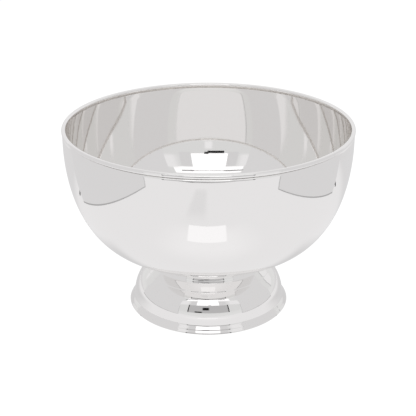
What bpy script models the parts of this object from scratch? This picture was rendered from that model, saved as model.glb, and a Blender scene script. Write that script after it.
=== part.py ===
"""Footed punch bowl: a spun sheet bowl bolted to a spun sheet foot. Lengths are in metres, +Z is up."""

import math

import bpy
from mathutils import Vector

MM = 0.001
SEGMENTS = 48

# Bowl
BOWL_SHEET = 1.0 * MM
BOWL_HEIGHT = 245.0 * MM
BOWL_BASE_Z = 64.5 * MM
CAP_RADIUS = 313.0 * MM
CAP_EDGE_R = 113.2 * MM
WALL_MAX_R = 181.7 * MM
WALL_TOP_Z = 228.0 * MM
WALL_PULL_LOW = 54.8 * MM
WALL_PULL_HIGH = 56.0 * MM

# Rolled edge
NECK_START_Z = 236.8 * MM
ROLL_OUTER_R = 183.0 * MM
ROLL_RADIUS = 2.8 * MM
ROLL_END_DEG = -60.0
WIRE_RADIUS = 1.4 * MM

# Foot
FOOT_SHEET = 1.2 * MM
FOOT_HOLE_R = 5.0 * MM
FOOT_TOP_GAP = 2.8 * MM
FOOT_TOP_R = 65.0 * MM
HEM_INNER_R = 93.0 * MM
HEM_OUTER_R = 102.9 * MM
SKIRT_BASE_R = 104.0 * MM
SKIRT_BASE_Z = 1.2 * MM
SKIRT_TOP_Z = 67.6 * MM
# Mouldings from the base up: height in mm, tilt from the vertical at the bottom and the top in degrees, steps.
MOULDINGS = (
    (0.5, 25.0, 25.0, 1),
    (2.7, 35.0, 33.0, 1),
    (0.5, 33.0, 26.0, 1),
    (0.5, 26.0, 32.0, 1),
    (3.2, 32.0, 36.0, 1),
    (2.5, 36.0, 9.0, 2),
    (6.0, 9.0, 9.0, 1),
    (9.0, 9.0, 20.0, 2),
    (7.9, 20.0, 29.0, 2),
    (7.3, 29.0, 41.0, 2),
    (5.8, 41.0, 43.0, 1),
    (0.5, 43.0, 17.0, 1),
    (0.5, 17.0, 42.0, 1),
    (6.8, 42.0, 43.0, 1),
    (3.0, 43.0, 17.0, 2),
    (2.0, 17.0, 17.0, 1),
    (2.8, 17.0, 42.0, 2),
)
NECK_TILTS = (42.0, 12.0, 2)

# Fixings
GASKET_INNER_R = 54.0 * MM
GASKET_OUTER_R = 64.5 * MM
PACKING = 1.6 * MM
CLEAR = 0.3 * MM
DISC_RADIUS = 24.0 * MM
STUD_RADIUS = 4.0 * MM
STUD_END_Z = 43.0 * MM
CLAMP_RADIUS = 22.0 * MM
CLAMP_LIP = 3.5 * MM
WASHER_RADIUS = 10.0 * MM
SPRING_RADIUS = 6.8 * MM
SPRING_GAP_DEG = 12.0
NUT_FLATS = 13.0 * MM
NUT_HEIGHT = 6.5 * MM


def clear_scene():
    """Removes every object of the startup scene."""
    for item in list(bpy.data.objects):
        bpy.data.objects.remove(item, do_unlink=True)


def material(name, colour, metallic, roughness):
    """A Principled material."""
    made = bpy.data.materials.new(name)
    made.use_nodes = True
    shader = made.node_tree.nodes["Principled BSDF"]
    shader.inputs["Base Color"].default_value = (*colour, 1.0)
    shader.inputs["Metallic"].default_value = metallic
    shader.inputs["Roughness"].default_value = roughness
    return made


def add_object(name, verts, faces, finish, sharp_deg=35.0):
    """One mesh object with smooth shading and sharp edges above an angle."""
    mesh = bpy.data.meshes.new(name)
    mesh.from_pydata(verts, [], faces)
    mesh.validate()
    mesh.shade_smooth()
    mesh.set_sharp_from_angle(angle=math.radians(sharp_deg))
    mesh.materials.append(finish)
    item = bpy.data.objects.new(name, mesh)
    bpy.context.scene.collection.objects.link(item)
    return item


def revolve(loop, segments=SEGMENTS):
    """Turns an anticlockwise loop of (r, z) points about Z; points on the axis become single poles."""
    verts = []
    rings = []
    for r, z in loop:
        if r < 1e-7:
            rings.append([len(verts)] * segments)
            verts.append((0.0, 0.0, z))
            continue
        rings.append(list(range(len(verts), len(verts) + segments)))
        for k in range(segments):
            turn = 2.0 * math.pi * k / segments
            verts.append((r * math.cos(turn), r * math.sin(turn), z))
    faces = []
    for i, ring in enumerate(rings):
        other = rings[(i + 1) % len(rings)]
        for k in range(segments):
            n = (k + 1) % segments
            corners = []
            for v in (ring[k], ring[n], other[n], other[k]):
                if v not in corners:
                    corners.append(v)
            if len(corners) > 2:
                faces.append(corners)
    return verts, faces


def arc(start, end, bulge, steps):
    """Points after start, up to end, on the arc that bulges to the left of the way by this much."""
    a = Vector(start)
    b = Vector(end)
    way = b - a
    half = way.length / 2.0
    left = Vector((-way.y, way.x)).normalized()
    if abs(bulge) < 1e-9:
        return [tuple(a + way * k / steps) for k in range(1, steps + 1)]
    radius = (half * half + bulge * bulge) / (2.0 * bulge)
    centre = (a + b) / 2.0 + left * (bulge - radius)
    sweep = -2.0 * math.copysign(math.atan2(half, abs(radius) - abs(bulge)), bulge)
    spoke = a - centre
    points = []
    for k in range(1, steps + 1):
        turn = sweep * k / steps
        c, s = math.cos(turn), math.sin(turn)
        points.append((centre.x + c * spoke.x - s * spoke.y, centre.y + s * spoke.x + c * spoke.y))
    return points


def thicken(line, sheet):
    """The closed loop around a mid-line: its right side outwards, then its left side back."""
    sides = ([], [])
    for i, point in enumerate(line):
        here = Vector(point)
        ways = []
        if i > 0:
            ways.append((here - Vector(line[i - 1])).normalized())
        if i < len(line) - 1:
            ways.append((Vector(line[i + 1]) - here).normalized())
        way = sum(ways, Vector((0.0, 0.0))).normalized()
        if here.x < 1e-7:
            way = Vector((1.0, 0.0))
        reach = sheet / 2.0 / max(0.8, way.dot(ways[0]))
        right = Vector((way.y, -way.x)) * reach
        sides[0].append(tuple(here + right))
        sides[1].append(tuple(here - right))
    return sides[0] + sides[1][::-1]


def cap_z(r, below=0.0):
    """Height of the bowl's underside near its middle, less a distance."""
    return BOWL_BASE_Z + CAP_RADIUS - math.sqrt(CAP_RADIUS**2 - r * r) - below


def cap_points(r_from, r_to, steps, below):
    """Points that follow the bowl's underside at a distance below it."""
    radii = [r_from + (r_to - r_from) * k / steps for k in range(steps + 1)]
    return [(r, cap_z(r, below)) for r in radii]


def wall_points(steps):
    """The bowl's wall from the cap's edge to the vertical, as a cubic curve."""
    slope = math.asin(CAP_EDGE_R / CAP_RADIUS)
    low = Vector((CAP_EDGE_R, cap_z(CAP_EDGE_R, -BOWL_SHEET / 2.0)))
    high = Vector((WALL_MAX_R, WALL_TOP_Z))
    pull_low = low + Vector((math.cos(slope), math.sin(slope))) * WALL_PULL_LOW
    pull_high = high - Vector((0.0, WALL_PULL_HIGH))
    points = []
    for k in range(1, steps + 1):
        t = k / steps
        u = 1.0 - t
        point = u**3 * low + 3 * u * u * t * pull_low + 3 * u * t * t * pull_high + t**3 * high
        points.append(tuple(point))
    return points


def neck_points(steps):
    """The short ease inwards under the rolled edge."""
    centre_r = ROLL_OUTER_R - ROLL_RADIUS
    end_r = centre_r - ROLL_RADIUS + BOWL_SHEET / 2.0
    end_z = BOWL_HEIGHT - ROLL_RADIUS
    points = [(WALL_MAX_R, NECK_START_Z)]
    for k in range(1, steps + 1):
        t = k / steps
        ease = (1.0 - math.cos(math.pi * t)) / 2.0
        points.append((WALL_MAX_R + (end_r - WALL_MAX_R) * ease, NECK_START_Z + (end_z - NECK_START_Z) * t))
    return points


def roll_points(steps):
    """The edge, rolled outwards over the wire and nearly closed."""
    centre = (ROLL_OUTER_R - ROLL_RADIUS, BOWL_HEIGHT - ROLL_RADIUS)
    radius = ROLL_RADIUS - BOWL_SHEET / 2.0
    points = []
    for k in range(1, steps + 1):
        turn = math.radians(180.0 + (ROLL_END_DEG - 180.0) * k / steps)
        points.append((centre[0] + radius * math.cos(turn), centre[1] + radius * math.sin(turn)))
    return points


def build_bowl(finish):
    """The bowl's sheet, from the middle of its bottom to the end of the roll."""
    line = cap_points(0.0, CAP_EDGE_R, 4, -BOWL_SHEET / 2.0)
    line += wall_points(11)
    line += neck_points(4)
    line += roll_points(10)
    return add_object("bowl_shell", *revolve(thicken(line, BOWL_SHEET)), finish)


def build_rim_wire(finish):
    """The stiffening wire inside the rolled edge."""
    centre = (ROLL_OUTER_R - ROLL_RADIUS, BOWL_HEIGHT - ROLL_RADIUS)
    loop = []
    for k in range(6):
        turn = 2.0 * math.pi * k / 6
        loop.append((centre[0] + WIRE_RADIUS * math.cos(turn), centre[1] + WIRE_RADIUS * math.sin(turn)))
    return add_object("rim_wire", *revolve(loop), finish)


def skirt_side():
    """Mid-line of the foot's side, from the base up, by adding up each moulding's tilt."""
    bands = [(height * MM, low, high, steps) for height, low, high, steps in MOULDINGS]
    rest = SKIRT_TOP_Z - SKIRT_BASE_Z - sum(band[0] for band in bands)
    bands.append((rest, *NECK_TILTS))
    points = [(SKIRT_BASE_R, SKIRT_BASE_Z)]
    for height, low, high, steps in bands:
        rise = height / steps
        for k in range(steps):
            tilt = math.radians(low + (high - low) * (k + 0.5) / steps)
            r, z = points[-1]
            points.append((r - rise * math.tan(tilt), z + rise))
    return points


def skirt_line():
    """Mid-line of the foot: dished top, shoulder, mouldings down the side, flat hem."""
    side = skirt_side()[::-1]
    line = cap_points(FOOT_HOLE_R, FOOT_TOP_R, 3, FOOT_TOP_GAP)
    line += arc(line[-1], side[0], 0.5 * MM, 2)
    line += side[1:]
    line += arc(line[-1], (HEM_OUTER_R, FOOT_SHEET / 2.0), 0.5 * MM, 2)
    line.append((HEM_INNER_R, FOOT_SHEET / 2.0))
    return line


def build_foot(finish):
    """The foot's sheet."""
    return add_object("foot_skirt", *revolve(thicken(skirt_line(), FOOT_SHEET)), finish)


def build_cap_ring(name, inner, outer, above, thick, steps, finish):
    """A flat ring pressed to follow the bowl's underside."""
    low = cap_points(inner, outer, steps, above + thick)
    high = cap_points(inner, outer, steps, above)
    return add_object(name, *revolve(low + high[::-1]), finish)


def build_clamp_plate(finish):
    """The dished plate inside the foot, with a lip turned down."""
    top = FOOT_TOP_GAP + FOOT_SHEET / 2.0 + CLEAR
    inner = STUD_RADIUS + CLEAR
    high = cap_points(inner, CLAMP_RADIUS, 2, top)
    low = cap_points(inner, CLAMP_RADIUS - PACKING, 2, top + PACKING)
    lip = (CLAMP_RADIUS, cap_z(CLAMP_RADIUS, top + CLAMP_LIP))
    lip_in = (CLAMP_RADIUS - PACKING, lip[1])
    return add_object("clamp_plate", *revolve(low + [lip_in, lip] + high[::-1], 24), finish)


def build_collar(name, inner, outer, bottom, height, finish):
    """A plain washer."""
    loop = [(inner, bottom), (outer, bottom), (outer, bottom + height), (inner, bottom + height)]
    return add_object(name, *revolve(loop, 24), finish)


def build_spring_washer(bottom, height, finish):
    """A ring of square section, cut through at one side."""
    inner = STUD_RADIUS + CLEAR
    steps = 24
    verts = []
    for k in range(steps + 1):
        turn = math.radians(SPRING_GAP_DEG / 2.0 + (360.0 - SPRING_GAP_DEG) * k / steps)
        c, s = math.cos(turn), math.sin(turn)
        for r, z in ((inner, 0.0), (SPRING_RADIUS, 0.0), (SPRING_RADIUS, height), (inner, height)):
            verts.append((r * c, r * s, bottom + z))
    faces = [(0, 1, 2, 3), tuple(4 * steps + j for j in (3, 2, 1, 0))]
    for k in range(steps):
        a = 4 * k
        b = a + 4
        for j in range(4):
            n = (j + 1) % 4
            faces.append((a + j, b + j, b + n, a + n))
    return add_object("spring_washer", verts, faces, finish)


def build_nut(bottom, finish):
    """A hexagon nut with chamfered corners."""
    bore = STUD_RADIUS + CLEAR
    corner = NUT_FLATS / math.sqrt(3.0)
    steps = 24
    cut = 0.8 * MM
    levels = ((0.0, NUT_FLATS / 2.0), (cut, corner), (NUT_HEIGHT - cut, corner), (NUT_HEIGHT, NUT_FLATS / 2.0))
    verts = []
    for k in range(steps):
        turn = 2.0 * math.pi * k / steps
        facet = (turn + math.pi / 6.0) % (math.pi / 3.0) - math.pi / 6.0
        flat = NUT_FLATS / 2.0 / math.cos(facet)
        for z, limit in levels:
            r = min(flat, limit)
            verts.append((r * math.cos(turn), r * math.sin(turn), bottom + z))
        for z in (NUT_HEIGHT, 0.0):
            verts.append((bore * math.cos(turn), bore * math.sin(turn), bottom + z))
    faces = []
    rows = 6
    for k in range(steps):
        a = rows * k
        b = rows * ((k + 1) % steps)
        for j in range(rows):
            n = (j + 1) % rows
            faces.append((a + j, b + j, b + n, a + n))
    return add_object("stud_nut", verts, faces, finish, 25.0)


def build_stud(finish):
    """The stud under the bowl, with a chamfered end."""
    top = cap_z(0.0, CLEAR)
    chamfer = 0.8 * MM
    loop = [
        (0.0, STUD_END_Z),
        (STUD_RADIUS - chamfer, STUD_END_Z),
        (STUD_RADIUS, STUD_END_Z + chamfer),
        (STUD_RADIUS, top),
        (0.0, top),
    ]
    return add_object("foot_stud", *revolve(loop, 24), finish)


def build_all():
    """Every piece, from the bowl down to the nut."""
    clear_scene()
    build_bowl(material("bowl_polished_steel", (0.78, 0.775, 0.765), 1.0, 0.06))
    build_rim_wire(material("drawn_steel_wire", (0.5, 0.5, 0.5), 1.0, 0.35))
    build_foot(material("foot_polished_steel", (0.78, 0.775, 0.765), 1.0, 0.06))
    rubber = material("clear_grey_rubber", (0.45, 0.45, 0.44), 0.0, 0.6)
    build_cap_ring("foot_gasket", GASKET_INNER_R, GASKET_OUTER_R, CLEAR, PACKING, 2, rubber)
    steel = material("disc_steel", (0.55, 0.55, 0.54), 1.0, 0.3)
    disc_inner = STUD_RADIUS + CLEAR
    build_cap_ring("mounting_disc", disc_inner, DISC_RADIUS, CLEAR, PACKING, 2, steel)
    build_stud(material("stud_zinc_plate", (0.6, 0.6, 0.58), 1.0, 0.35))
    build_clamp_plate(material("clamp_pressed_steel", (0.5, 0.5, 0.5), 1.0, 0.35))
    top = cap_z(0.0, FOOT_TOP_GAP + FOOT_SHEET / 2.0 + 2.0 * CLEAR + PACKING)
    washer_low = top - PACKING
    build_collar(
        "flat_washer",
        STUD_RADIUS + CLEAR,
        WASHER_RADIUS,
        washer_low,
        PACKING,
        material("washer_zinc_plate", (0.6, 0.6, 0.58), 1.0, 0.35),
    )
    spring_height = 2.0 * MM
    spring_low = washer_low - CLEAR - spring_height
    build_spring_washer(spring_low, spring_height, material("spring_steel", (0.4, 0.4, 0.4), 1.0, 0.4))
    nut_low = spring_low - CLEAR - NUT_HEIGHT
    build_nut(nut_low, material("nut_zinc_plate", (0.6, 0.6, 0.58), 1.0, 0.35))


build_all()
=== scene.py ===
"""Footed punch bowl in polished stainless steel: a spun bowl bolted to a spun, moulded foot.

Every length is in metres unless a name or comment says millimetres, and +Z is up.
The bowl, the foot and the turned fixings are lathe work, so one Geometry Nodes tree turns their profiles.
"""

import logging
import math
from dataclasses import dataclass, field
from enum import Enum
from typing import Any, Sequence

import bpy
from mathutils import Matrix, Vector


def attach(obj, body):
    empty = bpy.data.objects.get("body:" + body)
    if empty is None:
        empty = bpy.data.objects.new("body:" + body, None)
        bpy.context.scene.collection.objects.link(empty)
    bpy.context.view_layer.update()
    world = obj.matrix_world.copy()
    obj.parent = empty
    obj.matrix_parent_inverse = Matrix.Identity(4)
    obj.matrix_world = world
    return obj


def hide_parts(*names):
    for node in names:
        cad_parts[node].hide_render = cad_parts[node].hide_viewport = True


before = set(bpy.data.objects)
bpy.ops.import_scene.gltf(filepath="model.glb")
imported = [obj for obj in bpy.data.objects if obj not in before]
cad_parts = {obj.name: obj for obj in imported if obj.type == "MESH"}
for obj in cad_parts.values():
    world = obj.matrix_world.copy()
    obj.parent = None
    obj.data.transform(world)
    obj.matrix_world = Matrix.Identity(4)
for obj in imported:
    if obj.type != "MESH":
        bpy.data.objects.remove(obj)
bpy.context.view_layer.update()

MM = 0.001
BODY = "root"
MERGE = 2e-6

Point = tuple[float, float]
Line = list[Point]

log = logging.getLogger("punch_bowl")


class Slot(Enum):
    """The record's material slots."""

    BOWL = "bowl_steel"
    FOOT = "foot_steel"
    WIRE = "wire_steel"
    RUBBER = "gasket_rubber"
    PRESSED = "pressed_steel"
    PLATED = "plated_steel"


class Facing(Enum):
    """Which way a studio card faces."""

    BACK = "towards +Y, from in front of the bowl"
    SIDE = "along X, from beside the bowl"
    UP = "up, from the floor"


# ---------------------------------------------------------------- nodes and colour


def linear(hex_code: str) -> tuple[float, float, float, float]:
    """Turns an sRGB hex colour into linear light.

    Args:
        hex_code: Six hex digits after a hash sign.

    Returns:
        Red, green, blue and an alpha of one.
    """
    parts = [int(hex_code[i : i + 2], 16) / 255.0 for i in (1, 3, 5)]
    light = [c / 12.92 if c <= 0.04045 else ((c + 0.055) / 1.055) ** 2.4 for c in parts]
    return (light[0], light[1], light[2], 1.0)


def add_node(
    tree: bpy.types.NodeTree, kind: str, links: dict[Any, Any] | None = None, **settings: Any
) -> bpy.types.Node:
    """Adds a node with its settings, and fills or links its inputs.

    Args:
        tree: The tree the node goes into.
        kind: The node's type name.
        links: For each input's name or number, a socket to link from or a plain value.
        settings: The node's own properties.

    Returns:
        The new node.
    """
    node = tree.nodes.new(kind)
    for name, value in settings.items():
        setattr(node, name, value)
    for key, value in (links or {}).items():
        if isinstance(value, bpy.types.NodeSocket):
            tree.links.new(value, node.inputs[key])
        else:
            node.inputs[key].default_value = value
    return node


def new_material(name: str) -> tuple[bpy.types.Material, bpy.types.NodeTree]:
    """Makes a material with an empty node tree.

    Args:
        name: The material's name.

    Returns:
        The material and its tree.
    """
    made = bpy.data.materials.new(name)
    made.use_nodes = True
    made.node_tree.nodes.clear()
    return made, made.node_tree


def noise(
    tree: bpy.types.NodeTree, vector: bpy.types.NodeSocket, size_mm: float, detail: float
) -> bpy.types.NodeSocket:
    """Adds a noise whose lumps are about this size.

    Args:
        tree: The material's tree.
        vector: The coordinates, in metres.
        size_mm: The distance from lump to lump.
        detail: How many finer layers lie on it.

    Returns:
        The noise's height socket, from 0 to 1.
    """
    links = {"Vector": vector, "Scale": 1000.0 / size_mm, "Detail": detail}
    return add_node(tree, "ShaderNodeTexNoise", links).outputs[0]


def spread(
    tree: bpy.types.NodeTree, value: bpy.types.NodeSocket, low: float, high: float
) -> bpy.types.NodeSocket:
    """Maps a noise's middle half onto a range.

    Args:
        tree: The material's tree.
        value: The noise.
        low: What its low parts become.
        high: What its high parts become.

    Returns:
        The mapped socket.
    """
    links = {"Value": value, "From Min": 0.3, "From Max": 0.7, "To Min": low, "To Max": high}
    return add_node(tree, "ShaderNodeMapRange", links).outputs[0]


def around_axis(tree: bpy.types.NodeTree) -> tuple[bpy.types.NodeSocket, bpy.types.NodeSocket]:
    """Adds the coordinates of lathe work.

    Args:
        tree: The material's tree.

    Returns:
        Object coordinates, and a vector of radius and height only, which draws perfect rings.
    """
    place = add_node(tree, "ShaderNodeTexCoord").outputs["Object"]
    parts = add_node(tree, "ShaderNodeSeparateXYZ", {0: place})
    flat = add_node(tree, "ShaderNodeCombineXYZ", {0: parts.outputs[0], 1: parts.outputs[1]})
    radius = add_node(tree, "ShaderNodeVectorMath", {0: flat.outputs[0]}, operation="LENGTH")
    rings = add_node(tree, "ShaderNodeCombineXYZ", {0: radius.outputs["Value"], 2: parts.outputs[2]})
    return place, rings.outputs[0]


def bump(
    tree: bpy.types.NodeTree,
    height: bpy.types.NodeSocket,
    depth_mm: float,
    under: bpy.types.NodeSocket | None = None,
) -> bpy.types.NodeSocket:
    """Turns a height into a normal.

    Args:
        tree: The material's tree.
        height: The height, from 0 to 1.
        depth_mm: How far 0 lies under 1.
        under: A normal that this one adds to.

    Returns:
        The normal socket.
    """
    links: dict[Any, Any] = {"Height": height, "Distance": depth_mm * MM, "Strength": 1.0}
    if under is not None:
        links["Normal"] = under
    return add_node(tree, "ShaderNodeBump", links).outputs[0]


# ---------------------------------------------------------------- finishes


@dataclass(frozen=True)
class PolishedSteel:
    """Stainless steel sheet, spun on a former and buffed bright.

    The eye sees a slightly warm mirror: edges in it wander a little where the sheet isn't true,
    and faint rings stay from the spinning tool and the mop.
    """

    name: str
    colour: str = "#F6F5F4"
    smooth: float = 0.022
    hazy: float = 0.05
    ring_mm: float = 3.2
    ring_depth_mm: float = 0.00035
    wave_mm: float = 34.0
    wave_depth_mm: float = 0.03
    haze_mm: float = 70.0
    haze_share: float = 0.65

    def make(self) -> bpy.types.Material:
        """Builds the material."""
        made, tree = new_material(self.name)
        place, rings = around_axis(tree)
        # Real mop rings are about 0.2 mm apart, too fine to show, so these are drawn wider.
        ring = noise(tree, rings, self.ring_mm, 3.0)
        wave = noise(tree, place, self.wave_mm, 1.0)
        haze = noise(tree, place, self.haze_mm, 4.0)
        links = {0: ring, 1: 1.0 - self.haze_share}
        faint = add_node(tree, "ShaderNodeMath", links, operation="MULTIPLY").outputs[0]
        links = {0: haze, 1: self.haze_share, 2: faint}
        mixed = add_node(tree, "ShaderNodeMath", links, operation="MULTIPLY_ADD").outputs[0]
        rough = spread(tree, mixed, self.smooth, self.hazy)
        normal = bump(tree, ring, self.ring_depth_mm, bump(tree, wave, self.wave_depth_mm))
        steel = linear(self.colour)
        links = {"Base Color": steel, "Metallic": 1.0, "Roughness": rough, "Normal": normal}
        shader = add_node(tree, "ShaderNodeBsdfPrincipled", links)
        add_node(tree, "ShaderNodeOutputMaterial", {0: shader.outputs[0]})
        return made


@dataclass(frozen=True)
class WorkedMetal:
    """A plain metal part that nobody buffs: plated, pressed, drawn or tempered.

    The eye sees a dull sheen with rings where it was turned or drawn, and a faint mottle in its colour.
    """

    name: str
    light: str
    dark: str
    smooth: float
    rough: float
    ring_mm: float
    mottle_mm: float
    grain_mm: float
    grain_depth_mm: float

    def make(self) -> bpy.types.Material:
        """Builds the material."""
        made, tree = new_material(self.name)
        place, rings = around_axis(tree)
        mottle = noise(tree, place, self.mottle_mm, 4.0)
        ring = noise(tree, rings, self.ring_mm, 2.0)
        grain = noise(tree, place, self.grain_mm, 2.0)
        links = {"Factor": spread(tree, mottle, 0.0, 1.0), 6: linear(self.dark), 7: linear(self.light)}
        colour = add_node(tree, "ShaderNodeMix", links, data_type="RGBA").outputs[2]
        rough = spread(tree, ring, self.smooth, self.rough)
        normal = bump(tree, grain, self.grain_depth_mm, bump(tree, ring, self.grain_depth_mm))
        links = {"Base Color": colour, "Metallic": 1.0, "Roughness": rough, "Normal": normal}
        shader = add_node(tree, "ShaderNodeBsdfPrincipled", links)
        add_node(tree, "ShaderNodeOutputMaterial", {0: shader.outputs[0]})
        return made


@dataclass(frozen=True)
class MouldedRubber:
    """Grey silicone rubber, moulded as a flat ring.

    The eye sees a matt, slightly waxy grey with a fine moulded grain and a little dust.
    """

    name: str
    light: str = "#9A9995"
    dark: str = "#84837F"
    ior: float = 1.42
    smooth: float = 0.48
    rough: float = 0.66
    dust_mm: float = 9.0
    grain_mm: float = 0.7
    grain_depth_mm: float = 0.02

    def make(self) -> bpy.types.Material:
        """Builds the material."""
        made, tree = new_material(self.name)
        place, _ = around_axis(tree)
        dust = noise(tree, place, self.dust_mm, 5.0)
        grain = noise(tree, place, self.grain_mm, 2.0)
        links = {"Factor": spread(tree, dust, 0.0, 1.0), 6: linear(self.dark), 7: linear(self.light)}
        colour = add_node(tree, "ShaderNodeMix", links, data_type="RGBA").outputs[2]
        rough = spread(tree, dust, self.smooth, self.rough)
        normal = bump(tree, grain, self.grain_depth_mm)
        links = {"Base Color": colour, "Roughness": rough, "IOR": self.ior, "Normal": normal}
        shader = add_node(tree, "ShaderNodeBsdfPrincipled", links)
        add_node(tree, "ShaderNodeOutputMaterial", {0: shader.outputs[0]})
        return made


# ---------------------------------------------------------------- trees that make pieces


class PieceTree:
    """A Geometry Nodes tree that makes whole pieces and keeps its inputs' identifiers by name."""

    def __init__(self, name: str, inputs: dict[str, str]) -> None:
        """Makes the tree and its sockets, with the finish as the last input.

        Args:
            name: The tree's name.
            inputs: Each input's name and kind.
        """
        self.tree = bpy.data.node_groups.new(name, "GeometryNodeTree")
        self.tree.is_modifier = True
        self.sockets: dict[str, str] = {}
        face = self.tree.interface
        for label, kind in (*inputs.items(), ("Finish", "Material")):
            made = face.new_socket(name=label, in_out="INPUT", socket_type="NodeSocket" + kind)
            self.sockets[label] = made.identifier
        face.new_socket(name="Piece", in_out="OUTPUT", socket_type="NodeSocketGeometry")

    def _math(self, operation: str, *values: Any) -> bpy.types.NodeSocket:
        """Adds a Math node on these values and returns its result."""
        links = dict(enumerate(values))
        return add_node(self.tree, "ShaderNodeMath", links, operation=operation).outputs[0]

    def _end(self, geometry: bpy.types.NodeSocket, finish: bpy.types.NodeSocket) -> None:
        """Ends the tree: a real mesh, then its finish, then the output."""
        real = add_node(self.tree, "GeometryNodeRealizeInstances", {0: geometry}).outputs[0]
        coated = add_node(self.tree, "GeometryNodeSetMaterial", {"Geometry": real, "Material": finish})
        add_node(self.tree, "NodeGroupOutput", {0: coated.outputs[0]})

    def make(self, name: str, mesh: bpy.types.Mesh, values: dict[str, Any]) -> bpy.types.Object:
        """Runs the tree on a helper and keeps the result as a plain mesh piece.

        Args:
            name: The piece's name.
            mesh: What the tree works on.
            values: Each input's value.

        Returns:
            The piece, at the origin.
        """
        helper = bpy.data.objects.new(mesh.name, mesh)
        bpy.context.scene.collection.objects.link(helper)
        modifier = helper.modifiers.new("shape", "NODES")
        modifier.node_group = self.tree
        for label, value in values.items():
            modifier[self.sockets[label]] = value
        graph = bpy.context.evaluated_depsgraph_get()
        made = bpy.data.meshes.new_from_object(helper.evaluated_get(graph))
        made.name = name
        for attribute in [a for a in made.attributes if a.name == "thread"]:
            made.attributes.remove(attribute)
        piece = bpy.data.objects.new(name, made)
        bpy.context.scene.collection.objects.link(piece)
        helper.modifiers.clear()
        bpy.data.objects.remove(helper, do_unlink=True)
        return piece


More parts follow.
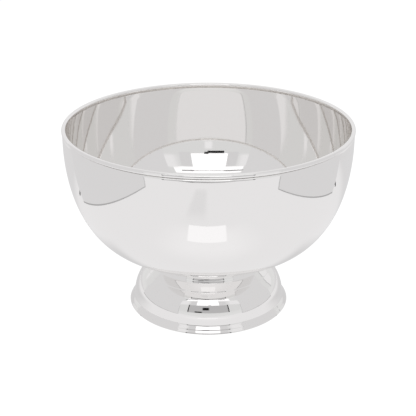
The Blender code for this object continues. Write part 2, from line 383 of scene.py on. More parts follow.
class Lathe(PieceTree):
    """A lathe: it turns a closed profile about Z, and can cut a thread or flats on it.

    The profile's points lie in the XZ plane, anticlockwise seen from -Y, with the first repeated last.
    """

    SHARP_DEG = 38.0

    def __init__(self) -> None:
        """Adds and links every node, from the grid to the finish."""
        sizes = {name: "Float" for name in ("Thread pitch", "Thread depth", "Across flats")}
        super().__init__("turned_profile", {"Profile": "Geometry", "Segments": "Int", **sizes})
        tree = self.tree
        given = add_node(tree, "NodeGroupInput").outputs
        profile = add_node(tree, "GeometryNodeAttributeDomainSize", {0: given["Profile"]})
        count = profile.outputs["Point Count"]
        links = {"Vertices X": self._math("ADD", given["Segments"], 1.0), "Vertices Y": count}
        grid = add_node(tree, "GeometryNodeMeshGrid", links).outputs["Mesh"]
        index = add_node(tree, "GeometryNodeInputIndex").outputs[0]
        column = self._math("FLOOR", self._math("DIVIDE", self._math("ADD", index, 0.5), count))
        row = self._math("ADD", self._math("SUBTRACT", index, self._math("MULTIPLY", column, count)), 0.25)
        share = self._math("DIVIDE", column, given["Segments"])
        angle = self._math("MULTIPLY", share, math.tau)
        place = add_node(tree, "GeometryNodeInputPosition").outputs[0]
        sample = add_node(
            tree,
            "GeometryNodeSampleIndex",
            {"Geometry": given["Profile"], "Value": place, "Index": row},
            data_type="FLOAT_VECTOR",
            domain="POINT",
        )
        parts = add_node(tree, "ShaderNodeSeparateXYZ", {0: sample.outputs[0]}).outputs
        radius = self._flats(given, angle, self._thread(given, row, share, parts["X"], parts["Z"]))
        turned = add_node(
            tree,
            "ShaderNodeCombineXYZ",
            {
                0: self._math("MULTIPLY", radius, self._math("COSINE", angle)),
                1: self._math("MULTIPLY", radius, self._math("SINE", angle)),
                2: parts["Z"],
            },
        ).outputs[0]
        moved = add_node(tree, "GeometryNodeSetPosition", {"Geometry": grid, "Position": turned})
        links = {"Geometry": moved.outputs[0], "Distance": MERGE}
        links = {0: add_node(tree, "GeometryNodeMergeByDistance", links).outputs[0], "Shade Smooth": True}
        smooth = add_node(tree, "GeometryNodeSetShadeSmooth", links, domain="FACE")
        bend = add_node(tree, "GeometryNodeInputMeshEdgeAngle").outputs["Unsigned Angle"]
        sharp = add_node(
            tree,
            "FunctionNodeCompare",
            {0: bend, 1: math.radians(self.SHARP_DEG)},
            data_type="FLOAT",
            operation="GREATER_THAN",
        )
        creased = add_node(
            tree,
            "GeometryNodeSetShadeSmooth",
            {0: smooth.outputs[0], "Selection": sharp.outputs[0], "Shade Smooth": False},
            domain="EDGE",
        )
        self._end(creased.outputs[0], given["Finish"])

    def _thread(
        self,
        given: Any,
        row: bpy.types.NodeSocket,
        share: bpy.types.NodeSocket,
        radius: bpy.types.NodeSocket,
        height: bpy.types.NodeSocket,
    ) -> bpy.types.NodeSocket:
        """Cuts a helical groove where the profile's "thread" attribute says so.

        Args:
            given: The tree's inputs.
            row: The profile point's number.
            share: The share of a whole turn.
            radius: The profile's radius.
            height: The profile's height.

        Returns:
            The radius with the groove cut.
        """
        named = add_node(self.tree, "GeometryNodeInputNamedAttribute", {"Name": "thread"}, data_type="FLOAT")
        depth = add_node(
            self.tree,
            "GeometryNodeSampleIndex",
            {"Geometry": given["Profile"], "Value": named.outputs[0], "Index": row},
            data_type="FLOAT",
            domain="POINT",
        ).outputs[0]
        pitch = self._math("MAXIMUM", given["Thread pitch"], 1e-5)
        phase = self._math("SUBTRACT", self._math("DIVIDE", height, pitch), share)
        wave = self._math("MULTIPLY", self._math("PINGPONG", phase, 0.5), 2.0)
        cut = self._math("MULTIPLY", self._math("MULTIPLY", wave, given["Thread depth"]), depth)
        return self._math("SUBTRACT", radius, cut)

    def _flats(
        self, given: Any, angle: bpy.types.NodeSocket, radius: bpy.types.NodeSocket
    ) -> bpy.types.NodeSocket:
        """Limits the radius to a hexagon, if the tree has a size across flats.

        Args:
            given: The tree's inputs.
            angle: The angle about Z.
            radius: The radius so far.

        Returns:
            The radius inside the hexagon.
        """
        facet = self._math("PINGPONG", angle, math.pi / 6.0)
        half = self._math("DIVIDE", given["Across flats"], 2.0)
        limit = self._math("DIVIDE", half, self._math("COSINE", facet))
        none = self._math("MULTIPLY", self._math("LESS_THAN", given["Across flats"], 1e-5), 10.0)
        return self._math("MINIMUM", radius, self._math("ADD", limit, none))

    def turn(
        self,
        name: str,
        loop: Line,
        finish: bpy.types.Material,
        segments: int,
        pitch: float = 0.0,
        depth: float = 0.0,
        flats: float = 0.0,
        threaded: Sequence[float] = (),
    ) -> bpy.types.Object:
        """Turns one profile into a plain mesh object.

        Args:
            name: The piece's name.
            loop: The closed profile as radius and height, without its first point repeated.
            finish: The material.
            segments: Steps round the axis.
            pitch: The thread's pitch, if it has one.
            depth: The thread's depth.
            flats: The size across flats of a hexagon.
            threaded: For each point, from 0 to 1, how much of the thread is cut there.

        Returns:
            The piece.
        """
        points = [(r, 0.0, z) for r, z in (*loop, loop[0])]
        mesh = bpy.data.meshes.new(name + "_profile")
        mesh.from_pydata(points, [(i, i + 1) for i in range(len(points) - 1)], [])
        cut = mesh.attributes.new("thread", "FLOAT", "POINT")
        cut.data.foreach_set("value", [*(threaded or [0.0] * len(loop)), 0.0])
        sizes = {
            "Segments": segments,
            "Thread pitch": pitch,
            "Thread depth": depth,
            "Across flats": flats,
            "Finish": finish,
        }
        return self.make(name, mesh, sizes)


def fit(piece: bpy.types.Object, node: str) -> bpy.types.Object:
    """Puts a finished piece in its CAD node's place.

    Args:
        piece: The finished piece.
        node: The CAD node it stands for.

    Returns:
        The same piece.
    """
    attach(piece, BODY)
    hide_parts(node)
    log.info("%s stands for %s: %d faces", piece.name, node, len(piece.data.polygons))
    return piece


# ---------------------------------------------------------------- profile geometry


def arc(start: Point, end: Point, bulge: float, steps: int) -> Line:
    """Points after start, up to end, on the arc that bulges to the left of the way.

    Args:
        start: Where the arc begins.
        end: Where it ends.
        bulge: Its height over the chord.
        steps: How many points.

    Returns:
        The points.
    """
    a = Vector(start)
    b = Vector(end)
    way = b - a
    half = way.length / 2.0
    left = Vector((-way.y, way.x)).normalized()
    radius = (half * half + bulge * bulge) / (2.0 * bulge)
    centre = (a + b) / 2.0 + left * (bulge - radius)
    sweep = -2.0 * math.copysign(math.atan2(half, abs(radius) - abs(bulge)), bulge)
    return [around(centre, a - centre, sweep * k / steps) for k in range(1, steps + 1)]


def around(centre: Vector, spoke: Vector, turn: float) -> Point:
    """The end of a spoke after it has turned about its centre."""
    c, s = math.cos(turn), math.sin(turn)
    return (centre.x + c * spoke.x - s * spoke.y, centre.y + s * spoke.x + c * spoke.y)


def thicken(line: Line, sheet: float) -> Line:
    """The closed loop round a mid-line, with a rounded cut edge where it doesn't start on the axis.

    Args:
        line: The sheet's mid-line.
        sheet: The sheet's thickness.

    Returns:
        An anticlockwise loop.
    """
    right: Line = []
    left: Line = []
    for i, point in enumerate(line):
        here = Vector(point)
        ways = [(here - Vector(line[i - 1])).normalized()] if i else []
        if i < len(line) - 1:
            ways.append((Vector(line[i + 1]) - here).normalized())
        way = sum(ways, Vector((0.0, 0.0))).normalized()
        if here.x < 1e-7:
            way = Vector((1.0, 0.0))
        side = Vector((way.y, -way.x)) * sheet / 2.0 / max(0.8, way.dot(ways[0]))
        right.append((here.x + side.x, here.y + side.y))
        left.append((here.x - side.x, here.y - side.y))
    loop = list(right)
    loop += arc(right[-1], left[-1], -sheet / 4.0, 4)
    loop += left[-2::-1]
    if line[0][0] > 1e-7:
        loop += arc(left[0], right[0], -sheet / 4.0, 4)[:-1]
    return loop


def rounded(corners: Line, radius: float, steps: int = 3) -> Line:
    """Rounds every corner of a closed loop that doesn't lie on the axis.

    Args:
        corners: The loop's corners.
        radius: How far from a corner the rounding starts.
        steps: Points on each corner.

    Returns:
        The rounded loop.
    """
    made: Line = []
    for i, corner in enumerate(corners):
        here = Vector(corner)
        if here.x < 1e-7:
            made.append(corner)
            continue
        before = Vector(corners[i - 1]) - here
        after = Vector(corners[(i + 1) % len(corners)]) - here
        reach = min(radius, before.length * 0.45, after.length * 0.45)
        a = here + before.normalized() * reach
        b = here + after.normalized() * reach
        for k in range(steps + 1):
            t = k / steps
            spot = a * (1 - t) ** 2 + here * 2 * t * (1 - t) + b * t * t
            made.append((spot.x, spot.y))
    return made


# ---------------------------------------------------------------- the bowl


@dataclass
class Bowl:
    """The spun bowl with its edge rolled over a wire."""

    sheet: float = 1.0 * MM
    height: float = 245.0 * MM
    base_z: float = 64.5 * MM
    cap_radius: float = 313.0 * MM
    cap_edge_r: float = 113.2 * MM
    wall_max_r: float = 181.7 * MM
    wall_top_z: float = 228.0 * MM
    pull_low: float = 54.8 * MM
    pull_high: float = 56.0 * MM
    neck_start_z: float = 236.8 * MM
    roll_outer_r: float = 183.0 * MM
    roll_radius: float = 2.8 * MM
    roll_end_deg: float = -60.0
    wire_radius: float = 1.4 * MM
    cap_steps: int = 36
    wall_steps: int = 84
    neck_steps: int = 14
    roll_steps: int = 30
    wire_steps: int = 20
    segments: int = 256

    @property
    def bead(self) -> Vector:
        """The middle of the rolled edge, as radius and height."""
        return Vector((self.roll_outer_r - self.roll_radius, self.height - self.roll_radius))

    def underside(self, r: float, below: float = 0.0) -> float:
        """Height of the bowl's underside near its middle, less a distance."""
        return self.base_z + self.cap_radius - math.sqrt(self.cap_radius**2 - r * r) - below

    def follow(self, r_from: float, r_to: float, steps: int, below: float) -> Line:
        """Points that follow the underside at a distance below it.

        Args:
            r_from: The first radius.
            r_to: The last radius.
            steps: How many steps between them.
            below: The distance below.

        Returns:
            The points.
        """
        radii = [r_from + (r_to - r_from) * k / steps for k in range(steps + 1)]
        return [(r, self.underside(r, below)) for r in radii]

    def wall(self) -> Line:
        """The wall from the shallow bottom to the vertical, one cubic curve."""
        slope = math.asin(self.cap_edge_r / self.cap_radius)
        low = Vector((self.cap_edge_r, self.underside(self.cap_edge_r, -self.sheet / 2.0)))
        high = Vector((self.wall_max_r, self.wall_top_z))
        first = low + Vector((math.cos(slope), math.sin(slope))) * self.pull_low
        second = high - Vector((0.0, self.pull_high))
        points = []
        for k in range(1, self.wall_steps + 1):
            t = k / self.wall_steps
            u = 1.0 - t
            spot = u**3 * low + 3 * u * u * t * first + 3 * u * t * t * second + t**3 * high
            points.append((spot.x, spot.y))
        return points

    def neck(self) -> Line:
        """The short ease inwards under the rolled edge."""
        end_r = self.roll_outer_r - 2.0 * self.roll_radius + self.sheet / 2.0
        end_z = self.height - self.roll_radius
        points = [(self.wall_max_r, self.neck_start_z)]
        for k in range(1, self.neck_steps + 1):
            t = k / self.neck_steps
            ease = (1.0 - math.cos(math.pi * t)) / 2.0
            r = self.wall_max_r + (end_r - self.wall_max_r) * ease
            points.append((r, self.neck_start_z + (end_z - self.neck_start_z) * t))
        return points

    def roll(self) -> Line:
        """The edge, rolled outwards over the wire, with a narrow gap left under it."""
        spoke = Vector((self.sheet / 2.0 - self.roll_radius, 0.0))
        sweep = math.radians(self.roll_end_deg - 180.0)
        steps = self.roll_steps
        return [around(self.bead, spoke, sweep * k / steps) for k in range(1, steps + 1)]

    def build(self, lathe: Lathe) -> None:
        """Turns the bowl and its wire."""
        line = self.follow(0.0, self.cap_edge_r, self.cap_steps, -self.sheet / 2.0)
        line += self.wall() + self.neck() + self.roll()
        steel = PolishedSteel("stainless_steel_spun_and_buffed").make()
        shell = lathe.turn("spun_bowl", thicken(line, self.sheet), steel, self.segments)
        fit(shell, "bowl_shell")
        spoke = Vector((self.wire_radius, 0.0))
        steps = self.wire_steps
        ring = [around(self.bead, spoke, math.tau * k / steps) for k in range(steps)]
        drawn = WorkedMetal(
            "steel_wire_drawn",
            "#B9B8B5",
            "#9C9B98",
            smooth=0.22,
            rough=0.36,
            ring_mm=0.5,
            mottle_mm=12.0,
            grain_mm=0.6,
            grain_depth_mm=0.002,
        ).make()
        fit(lathe.turn("edge_wire", ring, drawn, self.segments), "rim_wire")


# ---------------------------------------------------------------- the foot


@dataclass
class Foot:
    """The spun foot: a dished top, fine ledges, an ogee, a plain band, a grooved flange and a flat hem."""

    sheet: float = 1.2 * MM
    hole_r: float = 5.0 * MM
    top_gap: float = 2.8 * MM
    top_r: float = 65.0 * MM
    hem_inner_r: float = 93.0 * MM
    hem_outer_r: float = 102.9 * MM
    base_r: float = 104.0 * MM
    base_z: float = 1.2 * MM
    top_z: float = 67.6 * MM
    # Mouldings from the base up: height in mm, then the tilt from the vertical at the bottom and the top.
    mouldings: tuple[tuple[float, float, float], ...] = (
        (0.5, 25.0, 25.0),
        (2.7, 35.0, 33.0),
        (0.5, 33.0, 26.0),
        (0.5, 26.0, 32.0),
        (3.2, 32.0, 36.0),
        (2.5, 36.0, 9.0),
        (6.0, 9.0, 9.0),
        (9.0, 9.0, 20.0),
        (7.9, 20.0, 29.0),
        (7.3, 29.0, 41.0),
        (5.8, 41.0, 43.0),
        (0.5, 43.0, 17.0),
        (0.5, 17.0, 42.0),
        (6.8, 42.0, 43.0),
        (3.0, 43.0, 17.0),
        (2.0, 17.0, 17.0),
        (2.8, 17.0, 42.0),
    )
    neck_tilts: tuple[float, float] = (42.0, 12.0)
    shoulder_bulge: float = 0.5 * MM
    hem_bulge: float = 0.2 * MM
    top_steps: int = 20
    shoulder_steps: int = 6
    hem_steps: int = 5
    flat_steps: int = 4
    step: float = 0.42 * MM
    segments: int = 256

    def side(self) -> Line:
        """The side's mid-line from the base up, by adding up each moulding's tilt."""
        bands = [(height * MM, low, high) for height, low, high in self.mouldings]
        rest = self.top_z - self.base_z - sum(band[0] for band in bands)
        bands.append((rest, *self.neck_tilts))
        points = [(self.base_r, self.base_z)]
        for height, low, high in bands:
            steps = max(3, round(height / self.step))
            rise = height / steps
            for k in range(steps):
                tilt = math.radians(low + (high - low) * (k + 0.5) / steps)
                r, z = points[-1]
                points.append((r - rise * math.tan(tilt), z + rise))
        return points

    def build(self, lathe: Lathe, bowl: Bowl) -> None:
        """Turns the foot under the bowl."""
        side = self.side()[::-1]
        line = bowl.follow(self.hole_r, self.top_r, self.top_steps, self.top_gap)
        line += arc(line[-1], side[0], self.shoulder_bulge, self.shoulder_steps)
        line += side[1:]
        mid_z = self.sheet / 2.0
        line += arc(line[-1], (self.hem_outer_r, mid_z), self.hem_bulge, self.hem_steps)
        inwards = (self.hem_inner_r - self.hem_outer_r) / self.flat_steps
        line += [(self.hem_outer_r + inwards * k, mid_z) for k in range(1, self.flat_steps + 1)]
        steel = PolishedSteel(
            "stainless_steel_spun_foot", wave_mm=26.0, wave_depth_mm=0.012, ring_mm=2.4
        ).make()
        skirt = lathe.turn("spun_foot", thicken(line, self.sheet), steel, self.segments)
        fit(skirt, "foot_skirt")


# ---------------------------------------------------------------- the fixings


@dataclass
class Fixings:
    """What holds the bowl on the foot: seal, disc, stud, clamp, washers and nut."""

    lathe: Lathe
    bowl: Bowl
    foot: Foot
    clear: float = 0.3 * MM
    packing: float = 1.6 * MM
    seal_inner_r: float = 54.0 * MM
    seal_outer_r: float = 64.5 * MM
    disc_r: float = 24.0 * MM
    stud_r: float = 4.0 * MM
    stud_end_z: float = 43.0 * MM
    stud_chamfer: float = 0.8 * MM
    shank: float = 4.0 * MM
    pitch: float = 1.25 * MM
    thread_depth: float = 0.7 * MM
    clamp_r: float = 22.0 * MM
    clamp_lip: float = 3.5 * MM
    bend_width: float = 1.2 * MM
    bend_drop: float = 1.0 * MM
    bend_bulge: float = 0.35 * MM
    eased: float = 0.3 * MM
    washer_r: float = 10.0 * MM
    spring_r: float = 6.8 * MM
    spring_height: float = 2.0 * MM
    spring_gap_deg: float = 12.0
    nut_flats: float = 13.0 * MM
    nut_height: float = 6.5 * MM
    nut_face: float = 0.15 * MM
    nut_sink: float = 0.35 * MM
    nut_chamfer_deg: float = 30.0
    ring_segments: int = 144
    clamp_segments: int = 120
    washer_segments: int = 96
    stud_segments: int = 48
    plated: bpy.types.Material = field(init=False)

    def __post_init__(self) -> None:
        """Makes the finish that the stud, the plain washer and the nut share."""
        self.plated = self.metal("steel_zinc_plated", "#C9CCCE", "#AEB2B5", 0.26, 0.42, 0.6, 2.2, 0.5)

    @property
    def bore(self) -> float:
        """The radius of a hole that clears the stud."""
        return self.stud_r + self.clear

    def metal(self, *look: Any) -> bpy.types.Material:
        """A worked metal with the grain depth that all the fixings share."""
        return WorkedMetal(*look, grain_depth_mm=0.004).make()

    def build(self) -> None:
        """Builds every fixing, from the seal down to the nut."""
        pressed = self.metal("steel_sheet_pressed", "#BDBCB8", "#A19F9B", 0.28, 0.46, 1.6, 14.0, 0.8)
        rubber = MouldedRubber("silicone_rubber_moulded").make()
        seal = self.cap_ring("seal_ring", self.seal_inner_r, self.seal_outer_r, rubber)
        fit(seal, "foot_gasket")
        fit(self.cap_ring("welded_disc", self.bore, self.disc_r, pressed), "mounting_disc")
        fit(self.stud(), "foot_stud")
        fit(self.clamp(pressed), "clamp_plate")
        self.build_nut_stack()

    def cap_ring(self, name: str, inner: float, outer: float, finish: bpy.types.Material) -> bpy.types.Object:
        """Turns a flat ring pressed to follow the bowl's underside.

        Args:
            name: The piece's name.
            inner: Its inner radius.
            outer: Its outer radius.
            finish: The material.

        Returns:
            The ring.
        """
        low = self.bowl.follow(inner, outer, 10, self.clear + self.packing)
        high = self.bowl.follow(inner, outer, 10, self.clear)
        edge = self.packing / 6.0
        loop = low[1:-1] + self.soft_edge(low[-1], high[-1], edge)
        loop += high[-2:0:-1] + self.soft_edge(high[0], low[0], edge)
        return self.lathe.turn(name, loop, finish, self.ring_segments)

    def soft_edge(self, start: Point, end: Point, edge: float) -> Line:
        """The rounded edge of a thin ring between its two faces.

        Args:
            start: The sharp corner where the edge begins.
            end: The sharp corner where it ends.
            edge: How far the rounding reaches.

        Returns:
            The edge's points.
        """
        lift = math.copysign(edge, end[1] - start[1])
        return [
            (start[0] - lift, start[1]),
            (start[0] - lift * 0.3, start[1] + lift * 0.3),
            (start[0], start[1] + lift),
            (end[0], end[1] - lift),
            (end[0] - lift * 0.3, end[1] - lift * 0.3),
            (end[0] - lift, end[1]),
        ]

    def stud(self) -> bpy.types.Object:
        """Turns the stud and cuts its thread up to a plain shank."""
        top = self.bowl.underside(0.0, self.clear)
        low = self.stud_end_z + self.stud_chamfer
        steps = round((top - low) / self.pitch * 10)
        side = [(self.stud_r, low + (top - low) * k / steps) for k in range(steps + 1)]
        cut = [min(1.0, max(0.0, (top - self.shank - z) / self.pitch)) for _, z in side]
        tip = [(0.0, self.stud_end_z), (self.stud_r - self.stud_chamfer, self.stud_end_z)]
        return self.lathe.turn(
            "threaded_stud",
            [*tip, *side, (0.0, top)],
            self.plated,
            self.stud_segments,
            pitch=self.pitch,
            depth=self.thread_depth,
            threaded=[0.0, 0.0, *cut, 0.0],
        )

    def clamp(self, finish: bpy.types.Material) -> bpy.types.Object:
        """Turns the dished plate inside the foot, with its lip turned down."""
        top = self.foot.top_gap + self.foot.sheet / 2.0 + self.clear
        mid = self.packing / 2.0
        bend_r = self.clamp_r - mid
        bend_z = self.bowl.underside(self.clamp_r, top + mid) - self.bend_drop
        end_z = self.bowl.underside(self.clamp_r, top + self.clamp_lip) + self.eased
        line = self.bowl.follow(self.bore, bend_r - self.bend_width, 10, top + mid)
        line += arc(line[-1], (bend_r, bend_z), self.bend_bulge, 5)
        line.append((bend_r, end_z))
        return self.lathe.turn("clamp_dish", thicken(line, self.packing), finish, self.clamp_segments)

    def build_nut_stack(self) -> None:
        """Turns the plain washer, bends the spring washer and cuts the nut."""
        under = self.foot.top_gap + self.foot.sheet / 2.0 + 2.0 * self.clear + self.packing
        top = self.bowl.underside(0.0, under)
        low = top - self.packing
        corners = [(self.bore, low), (self.washer_r, low), (self.washer_r, top), (self.bore, top)]
        loop = rounded(corners, self.eased)
        washer = self.lathe.turn("plain_washer", loop, self.plated, self.washer_segments)
        fit(washer, "flat_washer")
        bottom = low - self.clear - self.spring_height
        dark = self.metal("spring_steel_tempered", "#8E8C88", "#6F6D69", 0.3, 0.5, 0.7, 3.0, 0.5)
        fit(SpringRing().bend("split_washer", self, bottom, dark), "spring_washer")
        fit(self.nut(bottom - self.clear), "stud_nut")

    def nut(self, top: float) -> bpy.types.Object:
        """Cuts the nut: a chamfered blank limited to a hexagon, with a countersunk bore."""
        low = top - self.nut_height
        corner = self.nut_flats / math.sqrt(3.0)
        half = self.nut_flats / 2.0 - self.nut_face
        chamfer = (corner - half) * math.tan(math.radians(self.nut_chamfer_deg))
        sunk = self.bore + self.nut_sink
        loop = [(sunk, low), (half, low)]
        loop += [(half + (corner - half) * k / 6, low + chamfer * k / 6) for k in range(1, 7)]
        loop += [(corner, low + chamfer + (self.nut_height - 2 * chamfer) * k / 4) for k in range(1, 5)]
        loop += [(corner + (half - corner) * k / 6, top - chamfer + chamfer * k / 6) for k in range(1, 7)]
        loop += [(sunk, top), (self.bore, top - self.nut_sink), (self.bore, low + self.nut_sink)]
        return self.lathe.turn("hexagon_nut", loop, self.plated, self.washer_segments, flats=self.nut_flats)


class SpringRing(PieceTree):
    """A tree that sweeps a square section along one turn of a helix."""

    RISE = 0.4 * MM
    EDGE = 0.25 * MM
    STEPS = 96

    def __init__(self) -> None:
        """Adds and links every node, from the helix to the finish."""
        names = ("Radius", "Width", "Height", "Turns", "Rise", "Bottom")
        super().__init__("split_ring", {name: "Float" for name in names})
        tree = self.tree
        given = add_node(tree, "NodeGroupInput").outputs
        links = {
            "Resolution": self.STEPS,
            "Rotations": given["Turns"],
            "Start Radius": given["Radius"],
            "End Radius": given["Radius"],
            "Height": given["Rise"],
        }
        helix = add_node(tree, "GeometryNodeCurveSpiral", links)
        upright = add_node(tree, "GeometryNodeSetCurveNormal", {0: helix.outputs[0]}, mode="Z_UP")
        links = {"Width": given["Width"], "Height": given["Height"]}
        section = add_node(tree, "GeometryNodeCurvePrimitiveQuadrilateral", links, mode="RECTANGLE")
        links = {"Curve": section.outputs[0], "Radius": self.EDGE, "Count": 3}
        corners = add_node(tree, "GeometryNodeFilletCurve", links, mode="POLY")
        links = {"Curve": upright.outputs[0], "Profile Curve": corners.outputs[0], "Fill Caps": True}
        solid = add_node(tree, "GeometryNodeCurveToMesh", links)
        lift = add_node(tree, "ShaderNodeCombineXYZ", {2: given["Bottom"]})
        links = {"Geometry": solid.outputs[0], "Translation": lift.outputs[0]}
        links = {"Geometry": add_node(tree, "GeometryNodeTransform", links).outputs[0], "Distance": MERGE}
        self._end(add_node(tree, "GeometryNodeMergeByDistance", links).outputs[0], given["Finish"])

    def bend(self, name: str, sizes: Fixings, bottom: float, finish: bpy.types.Material) -> bpy.types.Object:
        """Makes the split washer.

        Args:
            name: The piece's name.
            sizes: The fixings' sizes.
            bottom: The height of its underside.
            finish: The material.

        Returns:
            The piece.
        """
        height = sizes.spring_height - self.RISE
        values = {
            "Radius": (sizes.bore + sizes.spring_r) / 2.0,
            "Width": sizes.spring_r - sizes.bore,
            "Height": height,
            "Turns": 1.0 - sizes.spring_gap_deg / 360.0,
            "Rise": self.RISE,
            "Bottom": bottom + height / 2.0,
            "Finish": finish,
        }
        return self.make(name, bpy.data.meshes.new(name + "_path"), values)


# ---------------------------------------------------------------- the studio


def flat_face(
    name: str, corners: Sequence[tuple[float, float, float]], finish: bpy.types.Material
) -> bpy.types.Object:
    """Makes one flat face, mapped onto a unit square.

    Args:
        name: The object's name.
        corners: Its four corners.
        finish: The material.

    Returns:
        The object.
    """
    mesh = bpy.data.meshes.new(name)
    mesh.from_pydata(corners, [], [(0, 1, 2, 3)])
    uv = mesh.uv_layers.new(name="square")
    for loop, spot in zip(uv.data, ((0.0, 0.0), (1.0, 0.0), (1.0, 1.0), (0.0, 1.0))):
        loop.uv = spot
    mesh.materials.append(finish)
    made = bpy.data.objects.new(name, mesh)
    bpy.context.scene.collection.objects.link(made)
    return made


@dataclass(frozen=True)
class StudioCard:
    """A soft card that only the steel sees: a light panel, a grey flat, a dark stand, or a painted floor
    shade or glare.
    """

    name: str
    facing: Facing
    at: float
    across: tuple[float, float]
    along: tuple[float, float]
    glow: float
    soft: float = 0.0
    lean: float = 0.0
    tint: str = "#FEFDFE"

    def corners(self) -> list[tuple[float, float, float]]:
        """The card's four corners."""
        (a, b), (c, d) = self.across, self.along
        if self.facing is Facing.BACK:
            return [(a, self.at, c), (b, self.at, c), (b, self.at, d), (a, self.at, d)]
        if self.facing is Facing.SIDE:
            far = self.at + self.lean
            return [(self.at, a, c), (far, b, c), (far, b, d), (self.at, a, d)]
        return [(a, c, self.at), (b, c, self.at), (b - self.lean, d, self.at), (a + self.lean, d, self.at)]

    def material(self) -> bpy.types.Material:
        """A steady glow, faded out towards the card's edges if it is soft."""
        made, tree = new_material(self.name + "_glow")
        glow = add_node(tree, "ShaderNodeEmission", {"Color": linear(self.tint), "Strength": self.glow})
        shown = glow.outputs[0]
        if self.soft > 0.0:
            uv = add_node(tree, "ShaderNodeTexCoord").outputs["UV"]
            parts = add_node(tree, "ShaderNodeSeparateXYZ", {0: uv}).outputs
            share: Any = 1.0
            for side in parts[:2]:
                near = add_node(tree, "ShaderNodeMath", {0: side, 1: 0.5}, operation="PINGPONG").outputs[0]
                links = {"Value": near, "From Min": 0.0, "From Max": self.soft}
                ramp = add_node(tree, "ShaderNodeMapRange", links, interpolation_type="SMOOTHSTEP")
                links = {0: ramp.outputs[0], 1: share}
                share = add_node(tree, "ShaderNodeMath", links, operation="MULTIPLY").outputs[0]
            clear = add_node(tree, "ShaderNodeBsdfTransparent").outputs[0]
            shown = add_node(tree, "ShaderNodeMixShader", {0: share, 1: clear, 2: shown}).outputs[0]
        add_node(tree, "ShaderNodeOutputMaterial", {0: shown})
        return made

    def build(self) -> None:
        """Hangs the card in the studio, out of the camera's sight."""
        card = flat_face(self.name, self.corners(), self.material())
        card.visible_camera = False
        card.visible_shadow = False


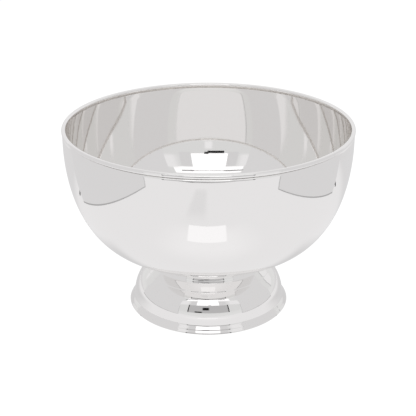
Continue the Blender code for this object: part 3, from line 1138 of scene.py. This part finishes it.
@dataclass
class Studio:
    """A white floor, a pale room and the cards that the mirror finish shows."""

    floor_half: float = 9.0
    floor_glow: float = 1.0
    floor_albedo: float = 0.06
    front_y: float = -1.784
    frame_y: float = -0.60
    left_x: float = -0.48
    right_x: float = 0.48
    lens_mm: float = 86.33
    camera_y: float = -1.1908
    camera_z: float = 0.6369
    pitch_deg: float = 23.115
    camera_shift: float = -0.0012
    bounces: int = 32
    wall_levels: tuple[tuple[float, float], ...] = ((0.0, 0.73), (0.5, 0.73), (1.0, 0.76))
    horizon_share: tuple[tuple[float, float], ...] = ((0.0, 1.0), (0.08, 1.0), (0.2, 0.0))
    horizon_level: float = 0.78
    ceiling_share: tuple[tuple[float, float], ...] = ((0.7, 0.0), (0.95, 1.0))
    ceiling_level: float = 0.86

    def build(self) -> None:
        """Builds the floor, the room's light, the cards and the camera."""
        self.allow_many_reflections()
        self.build_floor()
        self.build_room()
        for card in (*self.front_cards(), *self.back_cards(), *self.side_cards(), *self.floor_cards()):
            card.build()
        self.build_camera()

    def build_floor(self) -> None:
        """A plain white floor that hardly takes a shadow."""
        made, tree = new_material("white_paper_floor")
        links = {
            "Base Color": (self.floor_albedo,) * 3 + (1.0,),
            "Roughness": 1.0,
            "Specular IOR Level": 0.0,
            "Emission Color": linear("#FFFFFF"),
            "Emission Strength": self.floor_glow,
        }
        shader = add_node(tree, "ShaderNodeBsdfPrincipled", links)
        add_node(tree, "ShaderNodeOutputMaterial", {0: shader.outputs[0]})
        half = self.floor_half
        corners = [(-half, -half, 0.0), (half, -half, 0.0), (half, half, 0.0), (-half, half, 0.0)]
        floor = flat_face("floor", corners, made)
        floor.visible_glossy = False

    def build_room(self) -> None:
        """The room's light: grey walls, a little lighter at the horizon, and a bright ceiling."""
        world = bpy.data.worlds.new("pale_room")
        world.use_nodes = True
        tree = world.node_tree
        tree.nodes.clear()
        way = add_node(tree, "ShaderNodeTexCoord").outputs["Generated"]
        parts = add_node(tree, "ShaderNodeSeparateXYZ", {0: way}).outputs
        links = {0: parts[1], 1: 0.5, 2: 0.5}
        behind = add_node(tree, "ShaderNodeMath", links, operation="MULTIPLY_ADD").outputs[0]
        walls = self.ramp(tree, behind, self.wall_levels)
        low = self.ramp(tree, parts[2], self.horizon_share)
        high = self.ramp(tree, parts[2], self.ceiling_share)
        links = {"Factor": low, 6: walls, 7: (self.horizon_level,) * 3 + (1.0,)}
        lifted = add_node(tree, "ShaderNodeMix", links, data_type="RGBA").outputs[2]
        links = {"Factor": high, 6: lifted, 7: (self.ceiling_level,) * 3 + (1.0,)}
        capped = add_node(tree, "ShaderNodeMix", links, data_type="RGBA").outputs[2]
        back = add_node(tree, "ShaderNodeBackground", {0: capped, 1: 1.0})
        add_node(tree, "ShaderNodeOutputWorld", {0: back.outputs[0]})
        bpy.context.scene.world = world
        bpy.context.scene.view_settings.view_transform = "Standard"

    def ramp(
        self, tree: bpy.types.NodeTree, value: bpy.types.NodeSocket, stops: Sequence[tuple[float, float]]
    ) -> bpy.types.NodeSocket:
        """Adds a grey ramp with these stops.

        Args:
            tree: The room's tree.
            value: What the ramp reads.
            stops: Each stop's place and level.

        Returns:
            The ramp's colour.
        """
        made = add_node(tree, "ShaderNodeValToRGB", {0: value})
        elements = made.color_ramp.elements
        while len(elements) < len(stops):
            elements.new(0.5)
        for element, (place, level) in zip(elements, stops):
            element.position = place
            element.color = (level, level, level, 1.0)
        return made.outputs[0]

    def allow_many_reflections(self) -> None:
        """Lets light bounce often enough inside the bright bowl, which otherwise goes black near its edge."""
        cycles = bpy.context.scene.cycles
        cycles.max_bounces = self.bounces
        cycles.glossy_bounces = self.bounces

    def front_cards(self) -> list[StudioCard]:
        """The panel and its boom, the lights and flats round it, the camera and a table with its stand."""
        y = self.front_y
        near = self.frame_y
        rows = (
            ("wide_light", y - 0.03, (-1.45, 1.45), (1.82, 2.45), 1.15, 0.0),
            ("front_panel", y, (-0.62, 0.56), (1.06, 2.08), 1.3, 0.0),
            ("boom_left", y + 0.01, (-1.60, -0.62), (2.10, 2.17), 0.02, 0.0),
            ("boom_middle", y + 0.01, (-0.62, 0.56), (2.08, 2.12), 0.3, 0.0),
            ("boom_right", y + 0.01, (0.56, 1.07), (2.08, 2.15), 0.02, 0.0),
            ("flat_left", y - 0.01, (-1.02, -0.62), (1.00, 1.75), 0.69, 0.0),
            ("flat_right", y - 0.01, (0.56, 1.00), (1.00, 1.75), 0.70, 0.0),
            ("glow_left", y - 0.02, (-2.60, -0.95), (1.03, 1.90), 0.86, 0.2),
            ("glow_right", y - 0.02, (0.95, 3.20), (1.03, 2.00), 0.86, 0.2),
            ("camera_body", y + 0.03, (-0.48, 0.03), (0.94, 1.03), 0.01, 0.0),
            ("camera_grip", y + 0.03, (0.0, 0.13), (0.98, 1.07), 0.05, 0.0),
            ("apron", y - 0.04, (-0.16, 0.16), (0.60, 0.94), 0.88, 0.3),
            ("table_front", near, (-0.33, 0.33), (0.12, 0.34), 0.50, 0.0),
            ("table_stand", near + 0.01, (-0.10, 0.02), (0.185, 0.275), 0.01, 0.2),
            ("table_feet", near + 0.01, (-0.22, -0.08), (0.12, 0.16), 0.01, 0.2),
            ("post_front_left", near + 0.01, (-0.335, -0.315), (0.12, 0.35), 0.03, 0.0),
            ("post_front_right", near + 0.01, (0.315, 0.335), (0.12, 0.35), 0.03, 0.0),
        )
        return [
            StudioCard(name, Facing.BACK, at, across, along, glow, soft)
            for name, at, across, along, glow, soft in rows
        ]

    def back_cards(self) -> list[StudioCard]:
        """The paper roll behind the bowl, and its darker edge."""
        return [
            StudioCard("paper_roll", Facing.BACK, 1.3, (-1.9, 2.6), (0.30, 3.2), 0.85, 0.06),
            StudioCard("roll_edge", Facing.BACK, 1.29, (2.48, 2.6), (0.30, 3.2), 0.5),
        ]

    def side_cards(self) -> list[StudioCard]:
        """The grey gaps at each side of the paper, with their dark edges."""
        cards = []
        for side, x, lean, ends in (
            ("left", self.left_x, 0.105, (-0.52, 0.10)),
            ("right", self.right_x, -0.03, (-0.44, 0.08)),
        ):
            out = math.copysign(0.004, x)
            post = (ends[0] - 0.004, ends[0] + 0.004)
            clip = (ends[1] + 0.001, ends[1] + 0.013)
            base = sorted((x + lean - 5.0 * out, x + lean + 45.0 * out))
            cards += [
                StudioCard(f"gap_{side}", Facing.SIDE, x, ends, (0.0, 1.5), 0.725, lean=lean),
                StudioCard(f"sill_{side}", Facing.SIDE, x - out, ends, (0.0, 0.006), 0.42, lean=lean),
                StudioCard(f"post_{side}", Facing.SIDE, x - out, post, (0.0, 0.25), 0.5),
                StudioCard(f"clip_{side}", Facing.UP, 0.03, (base[0], base[1]), clip, 0.05),
            ]
        return cards

    def floor_cards(self) -> list[StudioCard]:
        """The paper on the floor, the glare on it, and the shades before, under and behind the bowl."""
        return [
            StudioCard("paper", Facing.UP, 0.0, (-9.0, 9.0), (-9.0, 9.0), 0.855),
            StudioCard(
                "glare", Facing.UP, 0.0010, (-0.0835, 0.0745), (-0.364, -0.268), 1.03, 0.05, lean=0.014
            ),
            StudioCard("glare_halo", Facing.UP, 0.0006, (-0.20, 0.20), (-0.38, -0.15), 0.915, 0.4),
            StudioCard("shade", Facing.UP, 0.0008, (-0.125, 0.005), (-0.80, -0.36), 0.785, 0.3),
            StudioCard("shade_behind", Facing.UP, 0.0008, (-0.6, 0.6), (0.05, 1.3), 0.70, 0.35),
            StudioCard("shade_under", Facing.UP, 0.0009, (-0.24, 0.24), (-0.07, 0.32), 0.68, 0.2),
            StudioCard("shade_wide", Facing.UP, 0.0006, (-2.6, 2.6), (0.16, 6.0), 0.74, 0.02),
        ]

    def build_camera(self) -> None:
        """The camera, in front of the bowl and looking down on it."""
        data = bpy.data.cameras.new("camera")
        data.sensor_width = 36.0
        data.lens = self.lens_mm
        data.shift_x = self.camera_shift
        data.clip_start, data.clip_end = 0.01, 100.0
        camera = bpy.data.objects.new("camera", data)
        camera.location = (0.0, self.camera_y, self.camera_z)
        camera.rotation_euler = (math.radians(90.0 - self.pitch_deg), 0.0, 0.0)
        bpy.context.scene.collection.objects.link(camera)
        bpy.context.scene.camera = camera


def main() -> None:
    """Builds the studio, the bowl, the foot and the fixings, in that order."""
    logging.basicConfig(level=logging.INFO, format="%(name)s: %(message)s")
    Studio().build()
    lathe = Lathe()
    bowl = Bowl()
    foot = Foot()
    bowl.build(lathe)
    foot.build(lathe, bowl)
    Fixings(lathe, bowl, foot).build()


if __name__ == "__main__":
    main()
